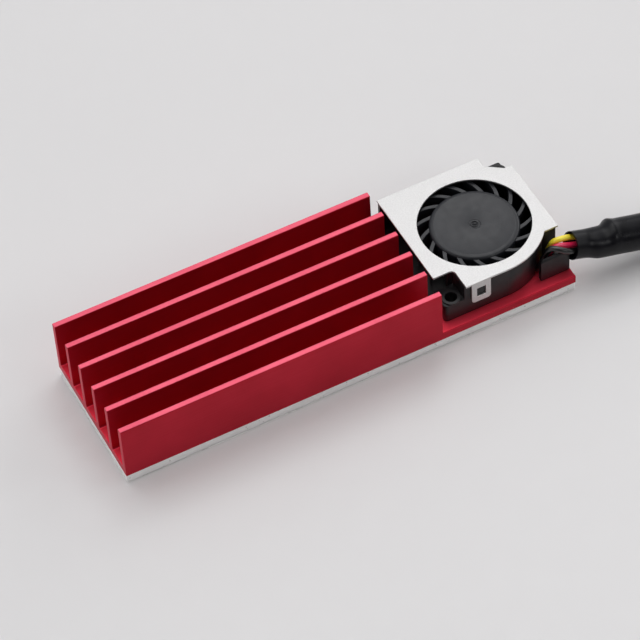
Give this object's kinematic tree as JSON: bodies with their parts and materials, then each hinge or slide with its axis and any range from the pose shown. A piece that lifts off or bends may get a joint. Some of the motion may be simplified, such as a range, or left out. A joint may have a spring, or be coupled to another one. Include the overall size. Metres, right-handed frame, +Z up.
{
  "type": "solid state drive cooler",
  "caption": "Finned red aluminium cooler for a stick-type solid state drive, with a small blower fan, a silicone thermal pad and a folded fan lead with its connector.",
  "frame": {"origin": "centre of the underside of the thermal pad, with its liner on", "axes": "+X along the length towards the fan end, +Y across the width away from the fan lead, +Z up through the fins"},
  "size_m": [0.1693, 0.0239, 0.011],
  "materials": {
    "red_anodised": "satin red anodised extrusion",
    "silicone_pad": "matt off-white filled silicone",
    "liner_film": "thin translucent release film",
    "tape": "double-sided acrylic tape",
    "black_moulding": "black moulded plastic",
    "cover_sheet": "satin plated sheet",
    "rotor_plastic": "satin dark grey moulding",
    "yoke_steel": "plain steel",
    "magnet": "bonded ferrite",
    "shaft_steel": "ground steel",
    "washer_plastic": "white nylon",
    "brass_tube": "turned brass",
    "bronze": "oil-filled sintered bronze",
    "board_green": "green solder resist",
    "chip_black": "black epoxy package",
    "component_tan": "tan ceramic",
    "solder": "bright solder",
    "lamination": "stamped electrical steel",
    "insulator": "ivory nylon",
    "copper_wire": "enamelled copper",
    "wire_yellow": "yellow insulation",
    "wire_red": "red insulation",
    "wire_black": "black insulation",
    "shrink_tube": "black heat-shrink tube",
    "tie_nylon": "natural nylon",
    "plug_nylon": "ivory nylon",
    "contact_tin": "tin-plated contacts"
  },
  "bodies": {
    "cooler": {"thermal_pad": "silicone_pad", "pad_liner": "liner_film", "heatsink": "red_anodised", "fan_tape": "tape", "fan_housing": "black_moulding", "fan_cover": "cover_sheet", "bearing_tube": "brass_tube", "sleeve_bearing": "bronze", "thrust_plate": "washer_plastic", "circuit_board": "board_green", "driver_chip": "chip_black", "board_parts": "component_tan", "solder_joints": "solder", "stator_core": "lamination", "stator_insulators": "insulator", "stator_coils": "copper_wire", "wire_yellow": "wire_yellow", "wire_red": "wire_red", "wire_black": "wire_black", "heat_shrink": "shrink_tube", "lead": "wire_black", "lead_hank": "wire_black", "lead_tail": "wire_black", "cable_tie": "tie_nylon", "connector_housing": "plug_nylon", "connector_contacts": "contact_tin"},
    "rotor": {"impeller": "rotor_plastic", "rotor_yoke": "yoke_steel", "rotor_magnet": "magnet", "shaft": "shaft_steel", "shaft_clip": "washer_plastic"}
  },
  "joints": [
    {"name": "fan_spin", "type": "hinge", "parent": "cooler", "child": "rotor", "pos_m": [0.025, 0.0001, 0.006], "axis": [0, 0, 1], "continuous": true}
  ]
}
